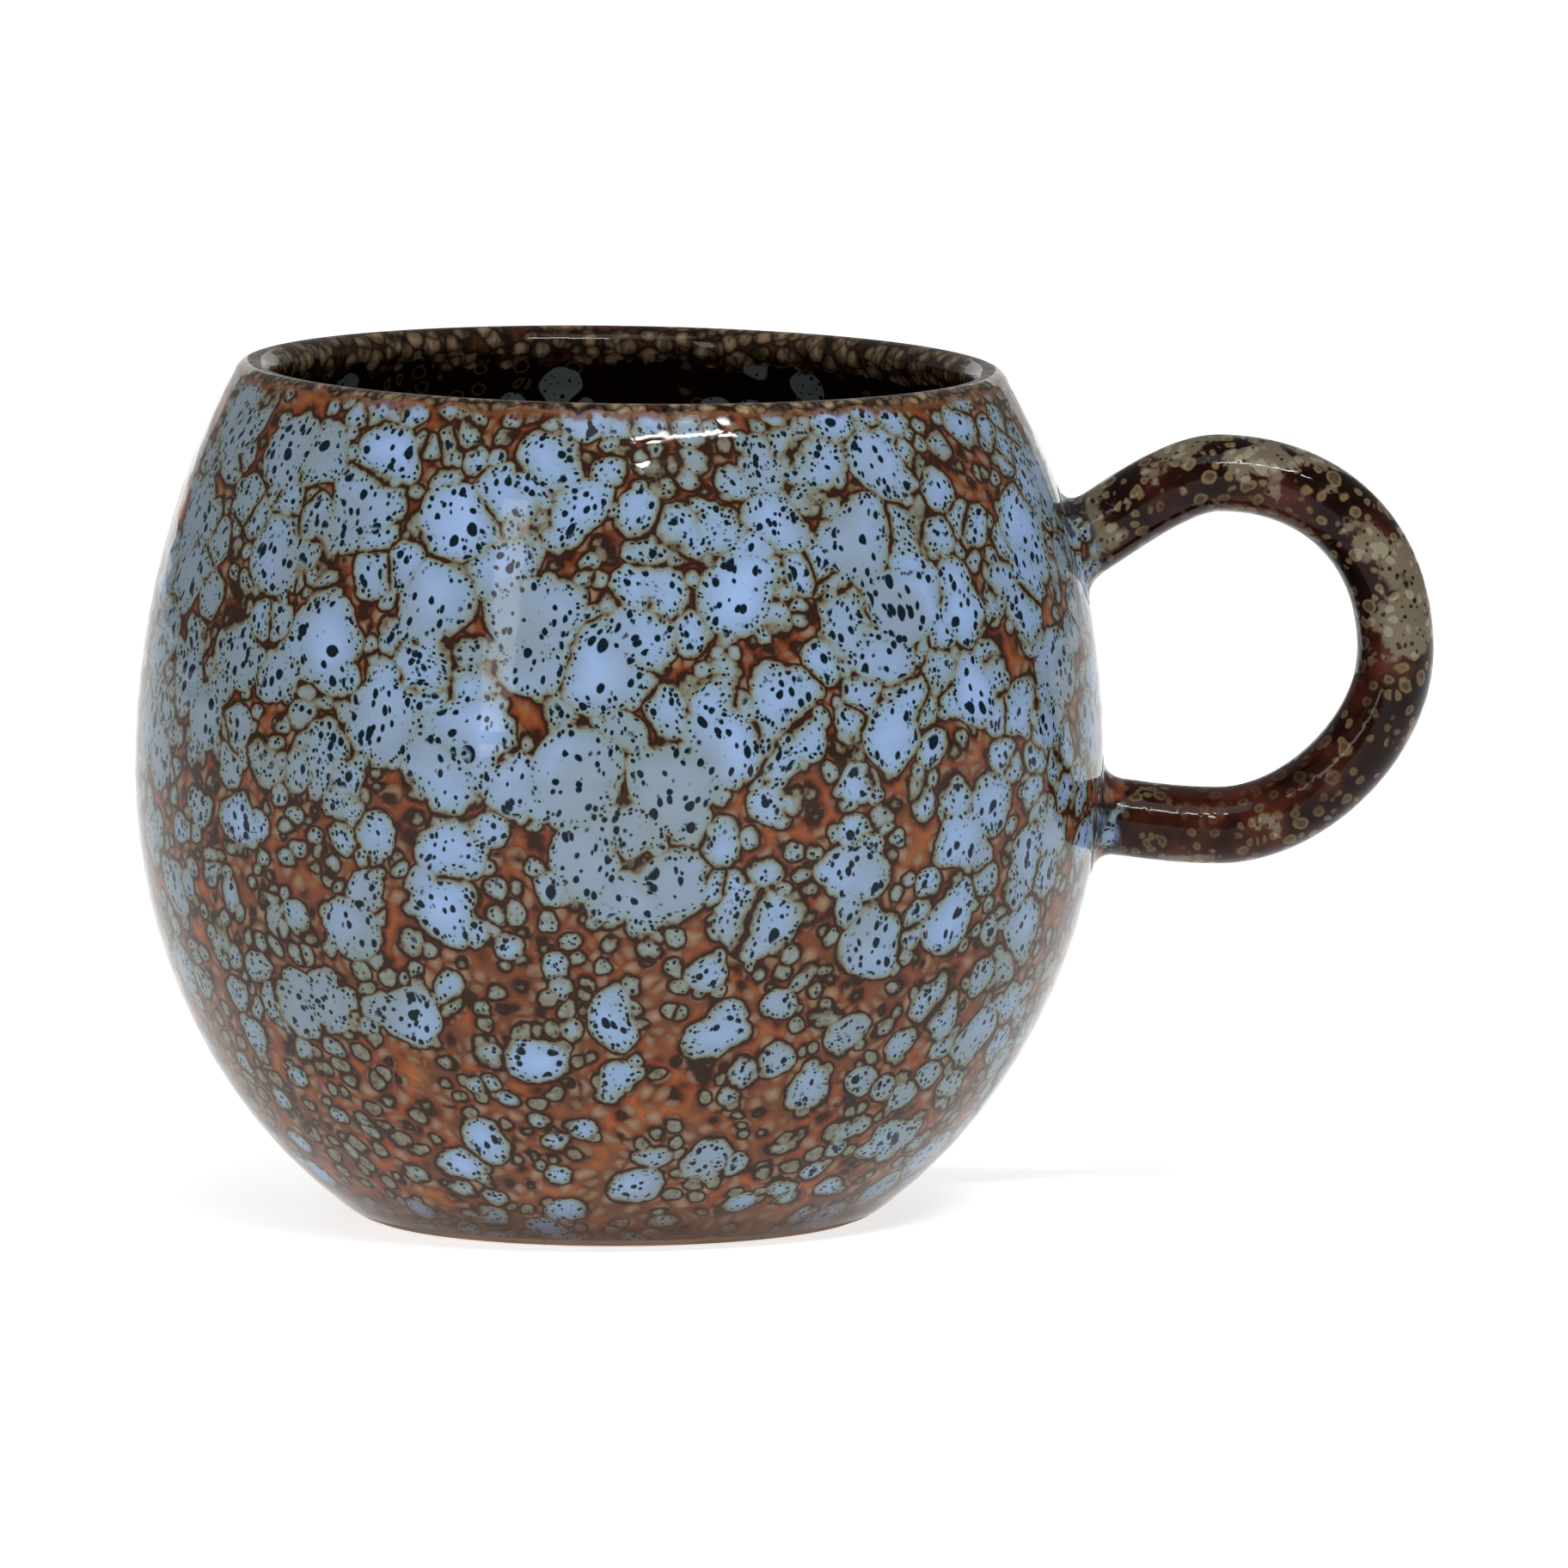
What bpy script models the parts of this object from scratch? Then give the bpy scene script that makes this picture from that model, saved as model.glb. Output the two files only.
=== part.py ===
"""Round-bellied stoneware mug with a ring handle.

The pieces are the clay vessel, the clay handle, the slip that lutes each end of the handle to the
wall, and the three fused glaze skins that cover them.
Metres, +Z up. The origin is on the vessel's axis, on the plane it rests on. The handle points to +X.
"""

import math

import bmesh
import bpy
from mathutils import Vector

MM = 0.001

# Vessel, measured over the glaze
BELLY_RADIUS = 51.0 * MM
BELLY_HEIGHT = 48.0 * MM
UPPER_RISE = 68.0 * MM  # half height of the ellipse that the shoulder follows
LOWER_FALL = 56.3 * MM  # half height of the ellipse that the heel follows
LIP_HEIGHT = 90.0 * MM
LIP_THICKNESS = 4.0 * MM
BELLY_THICKNESS = 4.7 * MM
FLOOR_HEIGHT = 6.5 * MM  # glazed floor inside the cup
BOWL_POWER = 2.5  # squareness of the bowl inside: 2 is an ellipse
RIM_DROP = 0.015  # how far the rim falls towards the handle, for each metre of reach
DROP_START = 0.6  # share of the height where the rim's slope begins
LEAN = 0.7 * MM  # how far the lip stands over towards the handle

# Layers
GLAZE = 0.6 * MM
GAP = 0.3 * MM
SLIP = 0.8 * MM
CLAY_INSET = GLAZE + GAP
GLAZE_END = 1.3 * MM  # the dry foot shows below this height
FOOT_BEVEL = 0.6 * MM

# Handle: the centre line is a ring with two limbs that run in to the wall
RING_X = 63.4 * MM
RING_Z = 59.85 * MM
RING_RADIUS = 18.65 * MM
UPPER_FULLNESS = 0.6  # control length over radius: 0.5523 is a quarter circle, more is squarer
LOWER_FULLNESS = 0.49
UPPER_END = (45.5 * MM, 68.6 * MM)
UPPER_ANGLE = math.radians(36)  # the upper limb climbs away from the wall
LOWER_END = (46.5 * MM, 43.1 * MM)
LOWER_ANGLE = math.radians(-6)  # the lower limb dips away from the wall
UPPER_PULL = 6.8 * MM
TOP_PULL = 4.8 * MM
BOTTOM_PULL = 6.8 * MM
LOWER_PULL = 5.4 * MM
HANDLE_HALF_THICK = 4.05 * MM  # over the glaze, in the plane of the ring
HANDLE_HALF_WIDE = 4.8 * MM  # over the glaze, across the ring

# Slip collars: how far each ring stands off the wall, how much wider than the handle it is, and how
# far it has turned from the wall's slope (0) to the limb's own direction (1)
COLLAR_RINGS = (
    (-2.4 * MM, 1.9 * MM, 0.0),
    (0.0 * MM, 1.9 * MM, 0.0),
    (0.9 * MM, 1.0 * MM, 0.25),
    (2.0 * MM, 0.4 * MM, 0.6),
    (3.4 * MM, 0.0 * MM, 1.0),
)

# Facets
TURN_STEPS = 48
SHOULDER_STEPS = 7
HEEL_STEPS = 7
LIP_STEPS = 6
BOWL_STEPS = 8
LIMB_STEPS = 7
RING_STEPS = 9
SECTION_STEPS = 16
WELD = 0.01 * MM
SHARP = math.radians(40)


def smooth(x):
    """Ease from 0 to 1."""
    x = min(max(x, 0.0), 1.0)
    return x * x * (3 - 2 * x)


def lean(height):
    """How far the vessel stands over towards the handle at a height."""
    return LEAN * smooth(height / LIP_HEIGHT)


def steps(first, last, count):
    """count + 1 evenly spaced values."""
    return [first + (last - first) * i / count for i in range(count + 1)]


# ---------------------------------------------------------------- lines


def wall_point(angle):
    """Point of the vessel's outside at an angle on its two ellipses, and the outward normal."""
    rise = UPPER_RISE if angle > 0 else LOWER_FALL
    point = Vector((BELLY_RADIUS * math.cos(angle), BELLY_HEIGHT + rise * math.sin(angle)))
    normal = Vector((math.cos(angle) / BELLY_RADIUS, math.sin(angle) / rise)).normalized()
    return point, normal


def lip_angle():
    """Angle on the upper ellipse where the wall gives way to the round of the lip."""
    centre_height = LIP_HEIGHT - LIP_THICKNESS / 2
    low, high = 0.0, math.pi / 2
    for _ in range(40):
        middle = (low + high) / 2
        point, normal = wall_point(middle)
        if (point - normal * LIP_THICKNESS / 2).y < centre_height:
            low = middle
        else:
            high = middle
    return low


def outside_line(lowest):
    """The outside of the vessel from a height near the foot up to the start of the lip."""
    bottom = math.asin((lowest - BELLY_HEIGHT) / LOWER_FALL)
    heel = [wall_point(a)[0] for a in steps(bottom, 0.0, HEEL_STEPS)]
    shoulder = [wall_point(a)[0] for a in steps(0.0, lip_angle(), SHOULDER_STEPS)]
    return heel + shoulder[1:]


def lip_line():
    """The half round over the lip, from its outer side to its inner side, without its two ends."""
    point, normal = wall_point(lip_angle())
    centre = point - normal * LIP_THICKNESS / 2
    start = math.atan2(normal.y, normal.x)
    angles = steps(start, start + math.pi, LIP_STEPS)[1:-1]
    reach = LIP_THICKNESS / 2
    return [centre + Vector((math.cos(a), math.sin(a))) * reach for a in angles]


def inside_line():
    """The inside of the cup, from the lip down to the middle of the floor."""
    line = []
    top = lip_angle()
    for angle in steps(top, 0.0, SHOULDER_STEPS):
        point, normal = wall_point(angle)
        thickness = BELLY_THICKNESS + (LIP_THICKNESS - BELLY_THICKNESS) * smooth(angle / top)
        line.append(point - normal * thickness)
    radius = BELLY_RADIUS - BELLY_THICKNESS
    depth = BELLY_HEIGHT - FLOOR_HEIGHT
    for angle in steps(0.0, math.pi / 2, BOWL_STEPS)[1:]:
        r = radius * math.cos(angle) ** (2 / BOWL_POWER) if angle < math.pi / 2 else 0.0
        line.append(Vector((r, BELLY_HEIGHT - depth * math.sin(angle) ** (2 / BOWL_POWER))))
    return line


def inset(line, distance):
    """The same line moved into the clay, square to itself. The clay is on the line's left."""
    moved = []
    for i, point in enumerate(line):
        along = line[min(i + 1, len(line) - 1)] - line[max(i - 1, 0)]
        if point.x == 0.0:
            along = Vector((-1.0, 0.0))
        across = Vector((-along.y, along.x)).normalized()
        shifted = point + across * distance
        if point.x == 0.0:
            shifted.x = 0.0
        moved.append(shifted)
    return moved


def vessel_line(lowest):
    """The whole skin of the vessel: up the outside, over the lip and down to the floor inside."""
    return outside_line(lowest) + lip_line() + inside_line()


def lip_crest(line):
    """Index of the highest point of a line."""
    return max(range(len(line)), key=lambda i: line[i].y)


# ---------------------------------------------------------------- mesh helpers


def settle(bm):
    """Let the vessel lean, and its rim fall, slightly towards the handle."""
    for vertex in bm.verts:
        share = vertex.co.z / LIP_HEIGHT
        slope = RIM_DROP * smooth((share - DROP_START) / (1 - DROP_START))
        vertex.co.x += lean(vertex.co.z)
        vertex.co.z -= slope * vertex.co.x


def finish(bm, name, material=None, cutter=False):
    """Turn a bmesh into an object, shaded smooth except at real edges."""
    bmesh.ops.remove_doubles(bm, verts=bm.verts, dist=WELD)
    bmesh.ops.recalc_face_normals(bm, faces=bm.faces)
    mesh = bpy.data.meshes.new(name)
    bm.to_mesh(mesh)
    bm.free()
    mesh.shade_smooth()
    mesh.set_sharp_from_angle(angle=SHARP)
    piece = bpy.data.objects.new(name, mesh)
    bpy.context.scene.collection.objects.link(piece)
    if material:
        mesh.materials.append(material)
    if cutter:
        piece.hide_render = True
        piece.display_type = "WIRE"
    return piece


def turned(loop, name, material=None, cutter=False):
    """Spin a closed outline of (radius, height) points round the vessel's axis."""
    bm = bmesh.new()
    verts = [bm.verts.new((p.x, 0.0, p.y)) for p in loop]
    edges = []
    for a, b in zip(verts, verts[1:] + verts[:1]):
        if a.co.x > 0.0 or b.co.x > 0.0:
            edges.append(bm.edges.new((a, b)))
    bmesh.ops.spin(
        bm,
        geom=verts + edges,
        cent=(0, 0, 0),
        axis=(0, 0, 1),
        angle=math.tau,
        steps=TURN_STEPS,
        use_merge=True,
    )
    settle(bm)
    return finish(bm, name, material, cutter)


def oval(bm, centre, normal, half_thick, half_wide):
    """One oval ring of vertices, square to a direction in the plane of the handle."""
    sideways = Vector((0, 1, 0))
    upwards = sideways.cross(normal).normalized()
    ring = []
    for i in range(SECTION_STEPS):
        turn = math.tau * i / SECTION_STEPS
        offset = upwards * half_thick * math.cos(turn) + sideways * half_wide * math.sin(turn)
        ring.append(bm.verts.new(centre + offset))
    return ring


def skin(bm, rings, closed=False):
    """Quads between neighbouring rings."""
    pairs = list(zip(rings, rings[1:]))
    if closed:
        pairs.append((rings[-1], rings[0]))
    for low, high in pairs:
        for i in range(SECTION_STEPS):
            j = (i + 1) % SECTION_STEPS
            bm.faces.new((low[i], low[j], high[j], high[i]))


def subtract(piece, cutter):
    """Cut one piece back with another that is hidden."""
    cut = piece.modifiers.new(cutter.name, "BOOLEAN")
    cut.operation = "DIFFERENCE"
    cut.solver = "EXACT"
    cut.object = cutter


# ---------------------------------------------------------------- handle lines


def bezier(ends, count):
    """count + 1 points and directions along one cubic segment given as four points."""
    a, b, c, d = ends
    found = []
    for t in steps(0.0, 1.0, count):
        s = 1 - t
        point = a * s**3 + b * 3 * s * s * t + c * 3 * s * t * t + d * t**3
        slope = (b - a) * s * s + (c - b) * 2 * s * t + (d - c) * t * t
        found.append((point, slope.normalized()))
    return found


def handle_path():
    """Centre line of the handle, from inside the wall, round the ring and back into the wall."""
    top = Vector((RING_X, 0, RING_Z + RING_RADIUS))
    outer = Vector((RING_X + RING_RADIUS, 0, RING_Z))
    bottom = Vector((RING_X, 0, RING_Z - RING_RADIUS))
    right = Vector((RING_RADIUS, 0, 0))
    up = Vector((0, 0, RING_RADIUS))
    start = Vector((UPPER_END[0], 0, UPPER_END[1]))
    end = Vector((LOWER_END[0], 0, LOWER_END[1]))
    leave = Vector((math.cos(UPPER_ANGLE), 0, math.sin(UPPER_ANGLE))) * UPPER_PULL
    arrive = Vector((math.cos(LOWER_ANGLE), 0, math.sin(LOWER_ANGLE))) * LOWER_PULL
    before_top = top - Vector((TOP_PULL, 0, 0))
    after_bottom = bottom - Vector((BOTTOM_PULL, 0, 0))
    path = bezier((start, start + leave, before_top, top), LIMB_STEPS)
    full, slack = UPPER_FULLNESS, LOWER_FULLNESS
    path += bezier((top, top + right * full, outer + up * full, outer), RING_STEPS)[1:]
    path += bezier((outer, outer - up * slack, bottom + right * slack, bottom), RING_STEPS)[1:]
    path += bezier((bottom, after_bottom, end + arrive, end), LIMB_STEPS)[1:]
    return path


def wall_normal(height):
    """Outward normal of the wall, beside the handle, at a height."""
    rise = UPPER_RISE if height > BELLY_HEIGHT else LOWER_FALL
    angle = math.asin((height - BELLY_HEIGHT) / rise)
    normal = wall_point(angle)[1]
    return Vector((normal.x, 0, normal.y))


def wall_radius(height):
    """How far out the clay wall reaches on the handle's side at a height."""
    rise = UPPER_RISE if height > BELLY_HEIGHT else LOWER_FALL
    share = (height - BELLY_HEIGHT) / rise
    return lean(height) + BELLY_RADIUS * math.sqrt(1 - share * share) - CLAY_INSET


def joint(path):
    """Where a path that starts inside the wall comes out of the clay, and its direction there."""
    for (a, _), (b, direction) in zip(path, path[1:]):
        if b.x > wall_radius(b.z):
            inside = wall_radius(a.z) - a.x
            outside = b.x - wall_radius(b.z)
            return a.lerp(b, inside / (inside + outside)), direction
    raise ValueError("the handle never leaves the wall")


def joints():
    """The upper and the lower joint, each as a point and the limb's direction away from the wall."""
    path = handle_path()
    back = [(point, -direction) for point, direction in reversed(path)]
    return {"upper": joint(path), "lower": joint(back)}


# ---------------------------------------------------------------- cutters


def vessel_block(name, clearance):
    """The vessel as a solid lump, grown from the clay's surface by a clearance."""
    line = inset(vessel_line(0.0), CLAY_INSET - clearance)
    outside = line[: lip_crest(line) + 1]
    top = Vector((0.0, outside[-1].y))
    base = Vector((0.0, outside[0].y))
    return turned(outside + [top, base], name, cutter=True)


def handle_rod(name, shrink, cutter=False, material=None):
    """The handle as a solid rod, a little thinner than it is over the glaze."""
    bm = bmesh.new()
    rings = []
    for point, direction in handle_path():
        rings.append(
            oval(bm, point, direction, HANDLE_HALF_THICK - shrink, HANDLE_HALF_WIDE - shrink)
        )
    skin(bm, rings)
    bm.faces.new(rings[0])
    bm.faces.new(rings[-1])
    return finish(bm, name, material, cutter)


def collar(name, side, grow, cutter=False, material=None):
    """A flared collar that spreads from the limb's width onto the wall."""
    point, direction = joints()[side]
    normal = wall_normal(point.z)
    bm = bmesh.new()
    rings = []
    for stand_off, flare, turn in COLLAR_RINGS:
        facing = normal.lerp(direction, turn).normalized()
        wide = flare + grow
        centre = point + direction * stand_off
        rings.append(
            oval(bm, centre, facing, HANDLE_HALF_THICK + wide, HANDLE_HALF_WIDE + wide)
        )
    if grow:
        for vertex in rings[-1]:
            vertex.co += direction * grow
    skin(bm, rings)
    bm.faces.new(rings[0])
    bm.faces.new(rings[-1])
    return finish(bm, name, material, cutter)


# ---------------------------------------------------------------- materials


def material(name, colour, roughness):
    """A plain Principled material."""
    made = bpy.data.materials.new(name)
    made.use_nodes = True
    shader = made.node_tree.nodes["Principled BSDF"]
    shader.inputs["Base Color"].default_value = (*colour, 1.0)
    shader.inputs["Roughness"].default_value = roughness
    shader.inputs["Metallic"].default_value = 0.0
    return made


def clay_material():
    return material("stoneware_clay", (0.42, 0.33, 0.25), 0.85)


def slip_material():
    return material("joining_slip", (0.36, 0.27, 0.2), 0.8)


def outer_glaze_material():
    return material("blue_brown_glaze", (0.2, 0.24, 0.31), 0.1)


def inner_glaze_material():
    return material("liner_glaze", (0.012, 0.006, 0.004), 0.06)


def handle_glaze_material():
    return material("brown_glaze", (0.07, 0.03, 0.018), 0.08)


# ---------------------------------------------------------------- pieces


def make_body():
    """Clay wall, floor and flat dry foot in one thrown piece. The line starts below the foot."""
    line = inset(vessel_line(-2 * FOOT_BEVEL), CLAY_INSET)
    foot = next(i for i, p in enumerate(line) if p.y > FOOT_BEVEL)
    first, second = line[foot - 1], line[foot]
    share = (FOOT_BEVEL - first.y) / (second.y - first.y)
    heel = first.lerp(second, share)
    edge = Vector((heel.x - FOOT_BEVEL, 0.0))
    centre = Vector((0.0, 0.0))
    return turned([centre, edge, heel] + line[foot:], "body", clay_material())


def make_outer_glaze(collars):
    """Glaze on the outside, from above the foot to the crest of the lip."""
    line = vessel_line(GLAZE_END)
    crest = lip_crest(line)
    face = line[: crest + 1]
    back = inset(line, GLAZE)[: crest + 1]
    piece = turned(face + back[::-1], "outer_glaze", outer_glaze_material())
    for cutter in collars:
        subtract(piece, cutter)
    return piece


def make_inner_glaze():
    """Glaze inside the cup, from just inside the crest of the lip to the middle of the floor."""
    line = vessel_line(0.0)
    crest = lip_crest(line)
    back = inset(line, GLAZE)[crest:]
    face = line[crest:]
    slack = (line[crest] - line[crest + 1]).normalized() * GAP
    face[0] = face[0] - slack
    back[0] = back[0] - slack
    return turned(face + back[::-1], "inner_glaze", inner_glaze_material())


def make_handle(end_cutter):
    """Clay ring handle, cut to the wall's curve at both ends with room for the slip."""
    piece = handle_rod("handle", CLAY_INSET, material=clay_material())
    subtract(piece, end_cutter)
    return piece


def make_slip(side, wall_cutter, bore_cutter):
    """Slip that beds one end of the handle on the wall and is wiped up round it as a collar."""
    piece = collar(side + "_handle_slip", side, 0.0, material=slip_material())
    subtract(piece, wall_cutter)
    subtract(piece, bore_cutter)
    return piece


def make_handle_glaze(end_cutter, collars):
    """Glaze sleeve round the handle, between the two slip collars."""
    bm = bmesh.new()
    outer, inner = [], []
    for point, direction in handle_path():
        outer.append(oval(bm, point, direction, HANDLE_HALF_THICK, HANDLE_HALF_WIDE))
        thick, wide = HANDLE_HALF_THICK - GLAZE, HANDLE_HALF_WIDE - GLAZE
        inner.append(oval(bm, point, direction, thick, wide))
    skin(bm, outer + inner[::-1], closed=True)
    piece = finish(bm, "handle_glaze", handle_glaze_material())
    subtract(piece, end_cutter)
    for cutter in collars:
        subtract(piece, cutter)
    return piece


def build():
    for thing in list(bpy.data.objects):
        bpy.data.objects.remove(thing)
    make_body()
    make_inner_glaze()
    end_cutter = vessel_block("cut_handle_ends", GAP + SLIP + GAP)
    make_handle(end_cutter)
    collars = [collar("cut_" + side, side, GAP, cutter=True) for side in ("upper", "lower")]
    make_outer_glaze(collars)
    make_handle_glaze(end_cutter, collars)
    wall_cutter = vessel_block("cut_slip_back", GAP)
    bore_cutter = handle_rod("cut_slip_bore", GLAZE, cutter=True)
    subtract(bore_cutter, vessel_block("cut_bore_end", GAP + SLIP))
    for side in ("upper", "lower"):
        make_slip(side, wall_cutter, bore_cutter)


build()
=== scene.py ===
"""Stoneware mug with a blue spotted glaze, a near-black liner glaze and a brown ring handle.

The visible surfaces are built on the measured nodes: the outside and lip, the inside, the dry foot,
and the handle with the small fillets where it meets the wall.
"""

import math

import bmesh
import bpy
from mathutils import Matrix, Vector, noise


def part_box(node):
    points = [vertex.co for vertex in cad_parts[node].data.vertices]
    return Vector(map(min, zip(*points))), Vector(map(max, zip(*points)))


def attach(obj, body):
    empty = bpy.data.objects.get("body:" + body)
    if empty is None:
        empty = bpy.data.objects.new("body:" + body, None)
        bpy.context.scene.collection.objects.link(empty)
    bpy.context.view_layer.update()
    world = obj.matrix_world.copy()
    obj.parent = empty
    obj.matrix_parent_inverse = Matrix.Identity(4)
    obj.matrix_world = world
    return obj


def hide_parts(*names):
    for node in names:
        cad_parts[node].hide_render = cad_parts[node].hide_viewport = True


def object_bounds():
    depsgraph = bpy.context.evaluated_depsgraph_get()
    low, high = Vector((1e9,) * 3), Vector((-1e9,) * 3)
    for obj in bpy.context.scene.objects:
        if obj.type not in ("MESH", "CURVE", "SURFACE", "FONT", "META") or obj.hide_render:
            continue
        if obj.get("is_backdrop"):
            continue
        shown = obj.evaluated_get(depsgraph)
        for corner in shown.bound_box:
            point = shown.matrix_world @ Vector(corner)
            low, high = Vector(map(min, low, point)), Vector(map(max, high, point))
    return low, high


MM = 0.001

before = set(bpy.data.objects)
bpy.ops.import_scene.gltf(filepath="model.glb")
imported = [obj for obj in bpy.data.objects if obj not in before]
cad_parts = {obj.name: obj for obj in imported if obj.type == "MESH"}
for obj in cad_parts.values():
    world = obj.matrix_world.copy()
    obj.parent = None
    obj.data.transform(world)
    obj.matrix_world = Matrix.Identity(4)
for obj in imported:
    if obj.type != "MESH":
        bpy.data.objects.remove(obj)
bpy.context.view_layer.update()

# Vessel, in millimetres over the glaze
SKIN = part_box("outer_glaze")
BELLY_RADIUS = (SKIN[1][1] - SKIN[0][1]) / 2 / MM
BELLY_HEIGHT = 48.0
UPPER_RISE = 68.0
LOWER_FALL = 56.3
LIP_HEIGHT = 90.0
LIP_THICKNESS = 4.0
BELLY_THICKNESS = 4.7
FLOOR_HEIGHT = 6.5
BOWL_POWER = 2.5
RIM_DROP = 0.015
DROP_START = 0.6
LEAN = 0.7
GLAZE_END = 0.9  # the dry foot shows below this height
FOOT_SLANT = 1.9  # how much narrower the flat of the foot is than the glaze's edge
WOBBLE = 0.09  # unevenness of the thrown wall
WOBBLE_AROUND = 28.0
WOBBLE_ALONG = 16.0
THROWING_RINGS = 1.9  # radians for each millimetre of height
EVEN_BELOW = 2.0  # the foot is turned true up to this height

# Handle, in millimetres over the glaze
RING_X = 63.4
RING_Z = 59.85
RING_RADIUS = 18.65
UPPER_FULLNESS = 0.6
LOWER_FULLNESS = 0.49
UPPER_END = (45.5, 68.6)
UPPER_ANGLE = math.radians(36)
LOWER_END = (46.5, 43.1)
LOWER_ANGLE = math.radians(-6)
UPPER_PULL = 6.8
TOP_PULL = 4.8
BOTTOM_PULL = 6.8
LOWER_PULL = 5.4
HALF_THICK = 4.05
HALF_WIDE = 4.8
FILLET = 2.3  # reach of the wiped slip on the wall
FILLET_SHARE = 0.75  # most of a joint's length that its fillet may take along the handle
JOINT_ROOM = 4.9  # the plain rod starts this far out of the wall
SKIRT = 0.5  # width of the edge that dips into the wall
SKIRT_DEPTH = 0.35
WALL_FADE = 6.0  # the vessel's glaze runs this far up the handle
POOL_NEAR = 6.0  # glaze pools on the wall round a joint, fully up to here
POOL_FADE = 10.0  # and fades out over this much more

# Mesh density
TURN = 288
SECTION = 64
HEEL_STEPS = 64
SHOULDER_STEPS = 56
LIP_STEPS = 24
INSIDE_STEPS = 40
BOWL_STEPS = 60
BEND_STEPS = 60
FILLET_STEPS = 10
FOOT_STEPS = 30

# Camera and floor, in metres and degrees
CAMERA_DISTANCE = 3.0
CAMERA_ELEVATION = 6.88
CAMERA_RAISE = 0.28 * MM
CAMERA_LENS = 654.5
FLOOR_HALF = 9.0
FLOOR_DROP = 0.05 * MM  # keeps the floor clear of the face of the foot
LIGHTS_AIM = (0, 0, 0.05)


def smooth(x):
    """Ease from 0 to 1."""
    x = min(max(x, 0.0), 1.0)
    return x * x * (3 - 2 * x)


def steps(first, last, count):
    """count + 1 evenly spaced values."""
    return [first + (last - first) * i / count for i in range(count + 1)]


def srgb(red, green, blue):
    """Scene-linear colour from the usual 0 to 255 values."""
    found = []
    for value in (red, green, blue):
        v = value / 255
        found.append(v / 12.92 if v <= 0.04045 else ((v + 0.055) / 1.055) ** 2.4)
    return (*found, 1.0)


# ---------------------------------------------------------------- vessel lines


def wall_point(angle):
    """Point of the outside at an angle on its two ellipses, and the outward normal."""
    rise = UPPER_RISE if angle > 0 else LOWER_FALL
    point = Vector((BELLY_RADIUS * math.cos(angle), BELLY_HEIGHT + rise * math.sin(angle)))
    normal = Vector((math.cos(angle) / BELLY_RADIUS, math.sin(angle) / rise)).normalized()
    return point, normal


def lip_angle():
    """Angle on the upper ellipse where the wall gives way to the round of the lip."""
    centre_height = LIP_HEIGHT - LIP_THICKNESS / 2
    low, high = 0.0, math.pi / 2
    for _ in range(40):
        middle = (low + high) / 2
        point, normal = wall_point(middle)
        if (point - normal * LIP_THICKNESS / 2).y < centre_height:
            low = middle
        else:
            high = middle
    return low


def outside_line(lowest):
    """The outside of the vessel from a height near the foot up to the start of the lip."""
    bottom = math.asin((lowest - BELLY_HEIGHT) / LOWER_FALL)
    heel = [wall_point(a)[0] for a in steps(bottom, 0.0, HEEL_STEPS)]
    shoulder = [wall_point(a)[0] for a in steps(0.0, lip_angle(), SHOULDER_STEPS)]
    return heel + shoulder[1:]


def lip_line():
    """The half round over the lip, from its outer side to its inner side."""
    point, normal = wall_point(lip_angle())
    centre = point - normal * LIP_THICKNESS / 2
    start = math.atan2(normal.y, normal.x)
    angles = steps(start, start + math.pi, LIP_STEPS)[1:-1]
    reach = LIP_THICKNESS / 2
    return [centre + Vector((math.cos(a), math.sin(a))) * reach for a in angles]


def inside_line():
    """The inside of the cup, from the lip down to the middle of the floor."""
    line = []
    top = lip_angle()
    for angle in steps(top, 0.0, INSIDE_STEPS):
        point, normal = wall_point(angle)
        thickness = BELLY_THICKNESS + (LIP_THICKNESS - BELLY_THICKNESS) * smooth(angle / top)
        line.append(point - normal * thickness)
    radius = BELLY_RADIUS - BELLY_THICKNESS
    depth = BELLY_HEIGHT - FLOOR_HEIGHT
    for angle in steps(0.0, math.pi / 2, BOWL_STEPS)[1:]:
        r = radius * max(math.cos(angle), 0.0) ** (2 / BOWL_POWER)
        line.append(Vector((r, BELLY_HEIGHT - depth * math.sin(angle) ** (2 / BOWL_POWER))))
    line[-1].x = 0.0
    return line


def lean(height):
    """How far the vessel stands over towards the handle at a height."""
    return LEAN * smooth(height / LIP_HEIGHT)


def rim_slope(height):
    """How steeply the vessel sinks towards the handle at a height."""
    return RIM_DROP * smooth((height / LIP_HEIGHT - DROP_START) / (1 - DROP_START))


def settled(point):
    """A point of the true round vessel after it has leant and sunk towards the handle."""
    x = point.x + lean(point.z)
    return Vector((x, point.y, point.z - rim_slope(point.z) * x))


def wall_reach(height):
    """Radius of the round vessel's outside at a height."""
    rise = UPPER_RISE if height > BELLY_HEIGHT else LOWER_FALL
    share = min(abs(height - BELLY_HEIGHT) / rise, 1.0)
    return BELLY_RADIUS * math.sqrt(1 - share * share)


def depth_under_wall(point):
    """How far a point lies inside the outside wall, roughly square to it; negative if outside."""
    radius = math.hypot(point.x - lean(point.z), point.y)
    height = point.z + rim_slope(point.z) * point.x
    rise = UPPER_RISE if height > BELLY_HEIGHT else LOWER_FALL
    reach = wall_reach(height)
    tilt = (height - BELLY_HEIGHT) * BELLY_RADIUS**2 / (rise**2 * max(reach, 1.0))
    return (reach - radius) / math.sqrt(1 + tilt * tilt)


# ---------------------------------------------------------------- mesh helpers


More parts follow.
